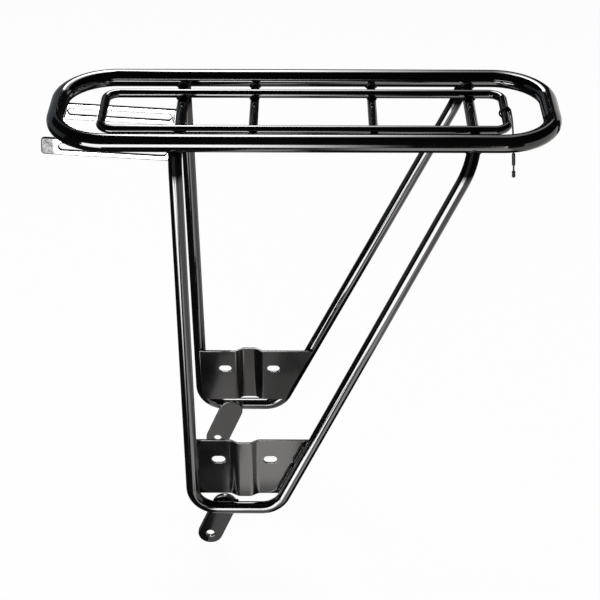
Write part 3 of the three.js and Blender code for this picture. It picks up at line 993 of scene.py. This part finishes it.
def build_lead():
    route, tangents = lead_route()
    lead = sweep(route, tangents, LEAD_RADIUS, LEAD_SIDES)
    make_piece("lead_wire", [lead], JACKET, "tail_light_lead", ["tail_lead"])
    half = SLEEVE_LENGTH / 2
    bore = LEAD_RADIUS + 0.05
    sleeve_profile = [
        (bore, -half),
        (SLEEVE_RADIUS - 0.25, -half),
        (SLEEVE_RADIUS, -half + 0.3),
        (SLEEVE_RADIUS, half - 0.9),
        (SLEEVE_RADIUS - 0.3, half - 0.2),
        (bore + 0.1, half),
        (bore, half),
    ]
    centre, heading = route_at(route, tangents, SLEEVE_Z)
    sleeve = lathe(sleeve_profile, 32, centre, -heading)
    make_piece("wire_sleeve", [sleeve], JACKET, "tail_light_lead", ["lead_sleeve"])
    low, high = node_box("lead_terminal")
    middle = (low[2] + high[2]) / 2 - DECK_ORIGIN[2]
    centre, heading = route_at(route, tangents, middle)
    half = TERMINAL_LENGTH / 2
    r = TERMINAL_RADIUS
    terminal_profile = [
        (0.05, -half),
        (r * 0.55, -half),
        (r * 0.85, -half + 0.4),
        (r, -half + 1.2),
        (r, -half + 2.6),
        (r * 0.72, -half + 3.0),
        (r * 0.72, -half + 3.6),
        (r, -half + 4.0),
        (r, half - 0.3),
        (r - 0.25, half),
        (0.05, half),
    ]
    terminal = lathe(terminal_profile, 32, centre, -heading)
    make_piece("crimped_end", [terminal], TIN, "tail_light_lead", ["lead_terminal"])


# ---- weld beads ----
ROD_BEAD = 1.1  # the radius of each bead
LEG_BEAD = 0.8
STRAP_BEAD = 1.3
LUG_BEAD = 0.9


def weld_bead(line, size, closed=False, seed=0):
    """A rippled bead laid along a line of points."""
    line = np.asarray(line, float)
    spans = np.linalg.norm(np.diff(line, axis=0), axis=1)
    along = np.concatenate([[0], np.cumsum(spans)])
    total = along[-1]
    count = max(12, int(total / 0.28))
    stations = np.linspace(0, total, count, endpoint=not closed)
    points = np.column_stack([np.interp(stations, along, line[:, k]) for k in range(3)])
    if closed:
        tangents = np.roll(points, -1, axis=0) - np.roll(points, 1, axis=0)
    else:
        tangents = np.gradient(points, axis=0)
    random = np.random.default_rng(seed)
    sides = 14
    ripple = 0.16 * np.abs(np.sin(np.pi * stations / 1.5 + random.uniform(0, 3)))
    drift = 0.07 * np.sin(2 * np.pi * stations / max(total, 1) * 2 + random.uniform(0, 6))
    radii = size * (0.92 + ripple + drift)
    if not closed:
        ends = np.minimum(stations, total - stations)
        radii = radii * np.sqrt(np.clip(ends / (1.2 * size), 0.02, 1))
    lumps = 1 + 0.04 * random.standard_normal((count, sides))
    return sweep(points, tangents, radii[:, None] * lumps, sides, closed)


def seam_on_loop(foot, direction, radius, sign=1):
    """Where a round rod of this radius, along direction, meets the loop's long side."""
    foot = np.asarray(foot, float)
    direction = np.asarray(direction, float) / np.linalg.norm(direction)
    across = np.array([1.0, 0, 0])
    across -= (across @ direction) * direction
    across /= np.linalg.norm(across)
    other = np.cross(direction, across)
    axis_y = sign * LOOP_HALF_WIDTH
    seam = []
    for angle in np.linspace(0, 2 * math.pi, 73):
        start = foot + radius * (math.cos(angle) * across + math.sin(angle) * other)
        y, z = start[1] - axis_y, start[2]
        dy, dz = direction[1], direction[2]
        a, b, c = dy * dy + dz * dz, y * dy + z * dz, y * y + z * z - LOOP_RADIUS**2
        root = b * b - a * c
        reach = (-b - math.sqrt(max(root, 0))) / a
        seam.append(start + reach * direction)
    return np.array(seam)


def build_welds():
    tube_beads, leg_beads = [], {"left": [], "right": []}
    for k, node in enumerate(CROSSBARS):
        x, radius, z = crossbar_line(node)
        for _, sign in SIDES:
            foot = (x, sign * (CROSSBAR_TIP_Y - 14), CROSSBAR_TIP_Z - 14)
            seam = seam_on_loop(foot, (0, sign, 1), radius + 0.4, sign)
            tube_beads.append(weld_bead(seam[:-1], ROD_BEAD, True, seed=k))
            for reach in (-1, 1):
                line = [
                    (x + reach * (radius - 0.6), sign * (RING_HALF_WIDTH + t), z + radius - 0.5)
                    for t in np.linspace(-2.6, 2.6, 9)
                ]
                tube_beads.append(weld_bead(line, ROD_BEAD, seed=10 + k))
    neck_y = leg_y(LEG_NECK_Z)
    for side, sign in SIDES:
        beads = leg_beads[side]
        tops = ((LEG_NECK_FRONT_X, LEG_TOP_FRONT_X), (LEG_NECK_REAR_X, LEG_TOP_REAR_X))
        for k, (neck_x, top_x) in enumerate(tops):
            foot = np.array([neck_x, sign * neck_y, LEG_NECK_Z])
            top = np.array([top_x, sign * LOOP_HALF_WIDTH, 0])
            seam = seam_on_loop(foot, top - foot, LEG_RADIUS + 0.1, sign)
            beads.append(weld_bead(seam[:-1], LEG_BEAD, True, seed=20 + k))
        beads += plate_welds(sign)
        beads += strap_welds(sign)
        beads.append(lug_weld(sign))
    make_piece("deck_weld_beads", tube_beads, WELD_ENAMEL, "frame")
    for side, _ in SIDES:
        make_piece(
            f"leg_weld_beads_{side}", leg_beads[side], WELD_ENAMEL, "frame"
        )


def plate_welds(sign):
    """Short stitches where the plate's edges lap the front leg and the diagonal."""
    beads = []
    front = (LEG_NECK_FRONT_X, LEG_FOOT_FRONT_X, 1)
    diagonal = (LEG_NECK_REAR_X, LEG_FOOT_REAR_X, -1)
    stitches = (
        (front, -317.5, -333, 1.6),
        (front, -349, -370, 1.6),
        (diagonal, -316.5, -339, 2.4),
        (diagonal, -341, -372, 2.3),
    )
    for k, ((neck_x, foot_x, way), z0, z1, size) in enumerate(stitches):
        line = [
            (
                leg_x(neck_x, foot_x, z) + way * (LEG_RADIUS + size - 1.6),
                sign * (leg_y(z) - LEG_RADIUS * 0.72),
                z,
            )
            for z in np.linspace(z0, z1, 12)
        ]
        beads.append(weld_bead(line, size, seed=30 + k))
    return beads


def strap_welds(sign):
    """Fillets above and below the foot tube where it crosses the strap's outer face."""
    beads = []
    x, z = STRAP_HOLE
    lean = math.tan(STRAP_LEAN)
    for k, rise in enumerate((-LEG_RADIUS * 0.78, LEG_RADIUS * 0.78)):
        level = LEG_FOOT_Z + rise
        middle = x + (level - z) * lean
        half = STRAP_RADIUS / math.cos(STRAP_LEAN) - 2
        y = sign * (LEG_FOOT_Y - LEG_RADIUS + 1.0)
        line = [(middle + t, y, level) for t in np.linspace(-half, half, 12)]
        beads.append(weld_bead(line, STRAP_BEAD, seed=40 + k))
    return beads


def lug_weld(sign):
    """A bead under the front crossbar, along the lug's inner face."""
    crossbar_x, radius, z = crossbar_line("crossbar_front")
    reach = radius + 0.2
    y = sign * (STAY_Y - STAY_THICK / 2 - GAP - LUG_THICK)
    line = [
        (crossbar_x + reach * math.sin(angle), y, z - reach * math.cos(angle))
        for angle in np.linspace(-0.9, 0.9, 12)
    ]
    return weld_bead(line, LUG_BEAD, seed=50)


# ---- stage, light and camera ----
CAMERA_LENS = 102.0
CAMERA_SENSOR = 36.0
CAMERA_ELEVATION = math.radians(33.18)
CAMERA_AZIMUTH = math.radians(0.34)
CAMERA_DISTANCE = 1624.6
CAMERA_TARGET = (-3.53, 0.39, -202.9)

FRONT_Y = -1950  # the panels on the camera's side
BACK_Y = 1500
TABLE_Z = -750
PLATE_CARD_Z = -445  # the cards that the plates and straps reflect
FLOOR_REACH = 30000


def glow_material(name, strength, colour, fades):
    """An emitter. Each fade is (axis, metres where it starts, where it ends, share left there)."""
    material = bpy.data.materials.new(name)
    material.use_nodes = True
    nodes, links = material.node_tree.nodes, material.node_tree.links
    nodes.clear()
    output = nodes.new("ShaderNodeOutputMaterial")
    emission = nodes.new("ShaderNodeEmission")
    emission.inputs["Color"].default_value = (*colour, 1)
    emission.inputs["Strength"].default_value = strength
    links.new(emission.outputs["Emission"], output.inputs["Surface"])
    place = nodes.new("ShaderNodeTexCoord")
    split = nodes.new("ShaderNodeSeparateXYZ")
    links.new(place.outputs["Object"], split.inputs["Vector"])
    level = None
    for axis, start, end, share in fades:
        ramp = nodes.new("ShaderNodeMapRange")
        ramp.interpolation_type = "SMOOTHSTEP"
        ramp.inputs["From Min"].default_value = start
        ramp.inputs["From Max"].default_value = end
        ramp.inputs["To Min"].default_value = 1
        ramp.inputs["To Max"].default_value = share
        links.new(split.outputs[axis], ramp.inputs["Value"])
        product = nodes.new("ShaderNodeMath")
        product.operation = "MULTIPLY"
        product.inputs[0].default_value = strength
        if level:
            links.new(level, product.inputs[0])
        links.new(ramp.outputs["Result"], product.inputs[1])
        level = product.outputs["Value"]
        links.new(level, emission.inputs["Strength"])
    return material


def add_quad(name, corners, material, hidden_from):
    """A studio surface with four corners in deck coordinates, hidden from some kinds of ray."""
    mesh = bpy.data.meshes.new(name)
    mesh.from_pydata(to_row(corners).tolist(), [], [(0, 1, 2, 3)])
    mesh.materials.append(material)
    quad = bpy.data.objects.new(name, mesh)
    bpy.context.scene.collection.objects.link(quad)
    for ray in hidden_from:
        setattr(quad, f"visible_{ray}", False)


def add_panel(name, corners, strength, colour, fades=()):
    """A light panel. The camera doesn't see it, only the rack's reflections do."""
    material = glow_material(f"{name}_glow", strength, colour, fades)
    add_quad(name, corners, material, ("camera", "shadow"))


def facing_panel(name, xs, y, zs, *glow):
    """An upright panel across the line of sight, between two X and two Z values at one Y."""
    (x0, x1), (z0, z1) = xs, zs
    add_panel(name, [(x0, y, z0), (x1, y, z0), (x1, y, z1), (x0, y, z1)], *glow)


def upright_card(name, x, ys, zs, *glow):
    """An upright panel at one X, seen by the sides of the rack."""
    (y0, y1), (z0, z1) = ys, zs
    add_panel(name, [(x, y0, z0), (x, y1, z0), (x, y1, z1), (x, y0, z1)], *glow)


def level_card(name, corners, z, *glow):
    add_panel(name, [(x, y, z) for x, y in corners], *glow)


def rectangle(x0, x1, y0, y1):
    return [(x0, y0), (x1, y0), (x1, y1), (x0, y1)]


def build_lights():
    """Soft boxes before and behind the rack, with dim cards at its sides and below it."""
    white, warm, cool = (1, 1, 1), (1, 0.97, 0.94), (0.85, 0.92, 1)

    fades = [("X", -0.2, 0.22, 0), ("Z", -0.45, -0.64, 0)]
    facing_panel("front_softbox", (-620, 500), FRONT_Y, (-1500, 200), 19, white, fades)
    facing_panel("front_left_softbox", (-2100, -620), FRONT_Y, (-880, 200), 19, white)
    fades = [("Z", -0.72, -1.22, 0)]
    facing_panel("leg_softbox", (-2500, -620), FRONT_Y, (-1700, -980), 20, white, fades)
    fades = [("X", 0.48, 0.33, 0)]
    facing_panel("front_right_card", (330, 640), FRONT_Y, (-1050, -150), 5, warm, fades)
    fades = [("Z", -1.3, -0.65, 0.125)]
    facing_panel("low_right_card", (340, 1500), FRONT_Y, (-2300, -1060), 2.4, warm, fades)

    fades = [("X", -0.3, 0.45, 0.075)]
    facing_panel("back_softbox", (-430, 900), BACK_Y, (900, 3500), 20, white, fades)
    facing_panel("back_left_card", (-1800, -350), BACK_Y, (-900, 850), 0.3, cool)
    facing_panel("back_right_card", (750, 1600), BACK_Y, (-900, 650), 0.9, warm)
    upright_card("left_card", -1800, (-300, 1500), (-300, 700), 0.3, cool)
    upright_card("right_card", 1600, (-1600, 900), (-1500, 150), 1.1, warm)

    fades = [("X", 0.14, 0.0, 0.088)]
    level_card("table", rectangle(-50, 460, -1300, -340), TABLE_Z, 3.4, warm, fades)
    level_card("dim_table", rectangle(460, 1400, -1300, -340), TABLE_Z, 1.2, warm)
    level_card("rear_table", rectangle(460, 1800, -340, 900), TABLE_Z, 0.9, warm)
    corners = [(-100, -50), (-62, -335), (5, -335), (-35, -50)]
    fades = [("Y", -0.2, -0.185, 0.294)]
    level_card("near_table", corners, PLATE_CARD_Z, 3.4, warm, fades)
    corners = [(-125, 95), (-95, -49), (5, -49), (5, 95)]
    fades = [("X", -0.075, -0.03, 0.5)]
    level_card("far_table", corners, PLATE_CARD_Z, 1.4, warm, fades)


def build_world():
    world = bpy.data.worlds.new("studio")
    bpy.context.scene.world = world
    world.use_nodes = True
    nodes, links = world.node_tree.nodes, world.node_tree.links
    background = nodes["Background"]
    path = nodes.new("ShaderNodeLightPath")
    mix = nodes.new("ShaderNodeMix")
    mix.data_type = "RGBA"
    mix.inputs["A"].default_value = (0.02, 0.02, 0.02, 1)
    mix.inputs["B"].default_value = (1, 1, 1, 1)
    links.new(path.outputs["Is Camera Ray"], mix.inputs["Factor"])
    links.new(mix.outputs["Result"], background.inputs["Color"])


def build_floor():
    """A pale floor at the height of the strap tips."""
    material = bpy.data.materials.new("pale_floor")
    material.use_nodes = True
    nodes, links = material.node_tree.nodes, material.node_tree.links
    nodes.clear()
    output = nodes.new("ShaderNodeOutputMaterial")
    glow = nodes.new("ShaderNodeEmission")
    glow.inputs["Color"].default_value = (1, 1, 1, 1)
    glow.inputs["Strength"].default_value = 0.965
    matte = nodes.new("ShaderNodeBsdfDiffuse")
    matte.inputs["Color"].default_value = (0.03, 0.03, 0.03, 1)
    both = nodes.new("ShaderNodeAddShader")
    links.new(glow.outputs["Emission"], both.inputs[0])
    links.new(matte.outputs["BSDF"], both.inputs[1])
    links.new(both.outputs["Shader"], output.inputs["Surface"])
    level = -DECK_ORIGIN[2] - 0.2
    square = rectangle(-FLOOR_REACH, FLOOR_REACH, -FLOOR_REACH, FLOOR_REACH)
    corners = [(x, y, level) for x, y in square]
    add_quad("floor", corners, material, ("glossy", "diffuse", "shadow"))


def build_camera():
    direction = Vector(
        (
            -math.sin(CAMERA_AZIMUTH) * math.cos(CAMERA_ELEVATION),
            math.cos(CAMERA_AZIMUTH) * math.cos(CAMERA_ELEVATION),
            -math.sin(CAMERA_ELEVATION),
        )
    )
    target = Vector(to_row(CAMERA_TARGET).tolist())
    data = bpy.data.cameras.new("camera")
    data.lens = CAMERA_LENS
    data.sensor_width = CAMERA_SENSOR
    data.clip_end = 100
    camera = bpy.data.objects.new("camera", data)
    camera.location = target - direction * CAMERA_DISTANCE * MM
    camera.rotation_euler = direction.to_track_quat("-Z", "Y").to_euler()
    bpy.context.scene.collection.objects.link(camera)
    bpy.context.scene.camera = camera


build_loop()
build_ring()
build_crossbars()
build_legs()
build_plates()
build_straps()
build_stays()
build_lugs()
build_fastenings()
build_lead()
build_welds()
build_lights()
build_world()
build_floor()
build_camera()
bpy.context.scene.view_settings.view_transform = "Standard"
